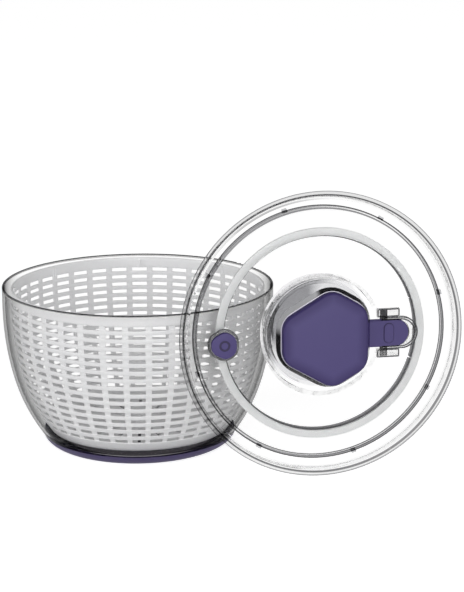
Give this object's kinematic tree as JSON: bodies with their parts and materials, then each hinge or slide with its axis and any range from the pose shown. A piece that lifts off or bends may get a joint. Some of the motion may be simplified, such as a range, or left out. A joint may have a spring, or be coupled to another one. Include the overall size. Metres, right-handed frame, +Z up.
{
  "type": "salad spinner",
  "caption": "Pump salad spinner with a clear bowl, a slotted basket that spins inside it and a clear lid with a push knob, brake button and knob lock, shown with the lid off.",
  "frame": {"origin": "on the bowl's axis, at the surface that the foot ring stands on", "axes": "+Z up along the bowl's axis, +X to the right as seen from the front, -Y towards the front"},
  "size_m": [0.4139, 0.2597, 0.2518],
  "materials": {
    "clear_plastic": "clear and glossy",
    "smoke_clear_plastic": "clear and glossy, reads dark at its edges",
    "frosted_plastic": "frosted",
    "white_plastic": "satin",
    "purple_plastic": "soft-touch",
    "purple_rubber": "matt, non-slip",
    "dark_plastic": "matt",
    "grey_rubber": "matt",
    "steel": "brushed"
  },
  "bodies": {
    "bowl": {"bowl": "clear_plastic", "foot_ring": "purple_rubber", "pivot_pin": "steel"},
    "bush": {"basket_bush": "dark_plastic"},
    "basket": {"basket": "white_plastic"},
    "lid": {"lid_shell": "clear_plastic", "lid_seal": "grey_rubber", "pump_well": "clear_plastic", "spindle_bearing": "dark_plastic", "lock_frame": "clear_plastic", "lock_detent_upper": "dark_plastic", "lock_detent_lower": "dark_plastic", "brake_collar": "smoke_clear_plastic"},
    "knob": {"knob_cap": "purple_plastic", "knob_skirt": "smoke_clear_plastic", "plunger": "frosted_plastic", "drive_nut": "white_plastic"},
    "spindle": {"twisted_spindle": "steel", "clutch_dog": "dark_plastic", "hub_retainer": "steel"},
    "drive": {"drive_disc": "clear_plastic", "brake_track": "frosted_plastic", "clutch_ratchet": "white_plastic"},
    "brake": {"brake_button": "purple_plastic", "brake_stem": "purple_plastic", "brake_shoe": "grey_rubber"},
    "lock": {"lock_slider": "purple_plastic"}
  },
  "joints": [
    {"name": "basket_lift", "type": "slide", "parent": "bowl", "child": "bush", "axis": [0, 0, 1], "range_m": [0, 0.16]},
    {"name": "basket_spin", "type": "hinge", "parent": "bush", "child": "basket", "pos_m": [0, 0, 0.015], "axis": [0, 0, 1], "continuous": true},
    {"name": "lid_carry", "type": "slide", "parent": "bowl", "child": "lid", "axis": [0.1994, -0.9799, 0], "range_m": [0, 0.15]},
    {"name": "knob_press", "type": "slide", "parent": "lid", "child": "knob", "axis": [-0.1991, 0.9788, -0.0471], "range_m": [0, 0.024], "stiffness_N_per_m": 300, "springref_m": -0.02},
    {"name": "spindle_spin", "type": "hinge", "parent": "lid", "child": "spindle", "pos_m": [0.165, -0.10439, 0.12586], "axis": [0.1991, -0.9788, 0.0471], "range_deg": [0, 433]},
    {"name": "drive_spin", "type": "hinge", "parent": "lid", "child": "drive", "pos_m": [0.165, -0.10439, 0.12586], "axis": [0.1991, -0.9788, 0.0471], "continuous": true},
    {"name": "brake_press", "type": "slide", "parent": "lid", "child": "brake", "axis": [-0.1991, 0.9788, -0.0471], "range_m": [0, 0.0028], "stiffness_N_per_m": 400, "springref_m": -0.002},
    {"name": "lock_slide", "type": "slide", "parent": "lid", "child": "lock", "axis": [-0.9799, -0.1994, 0], "range_m": [0, 0.007]}
  ],
  "couplings": [
    {"joint": "spindle_spin", "follows": "knob_press", "rad_per_m": 314.16}
  ]
}
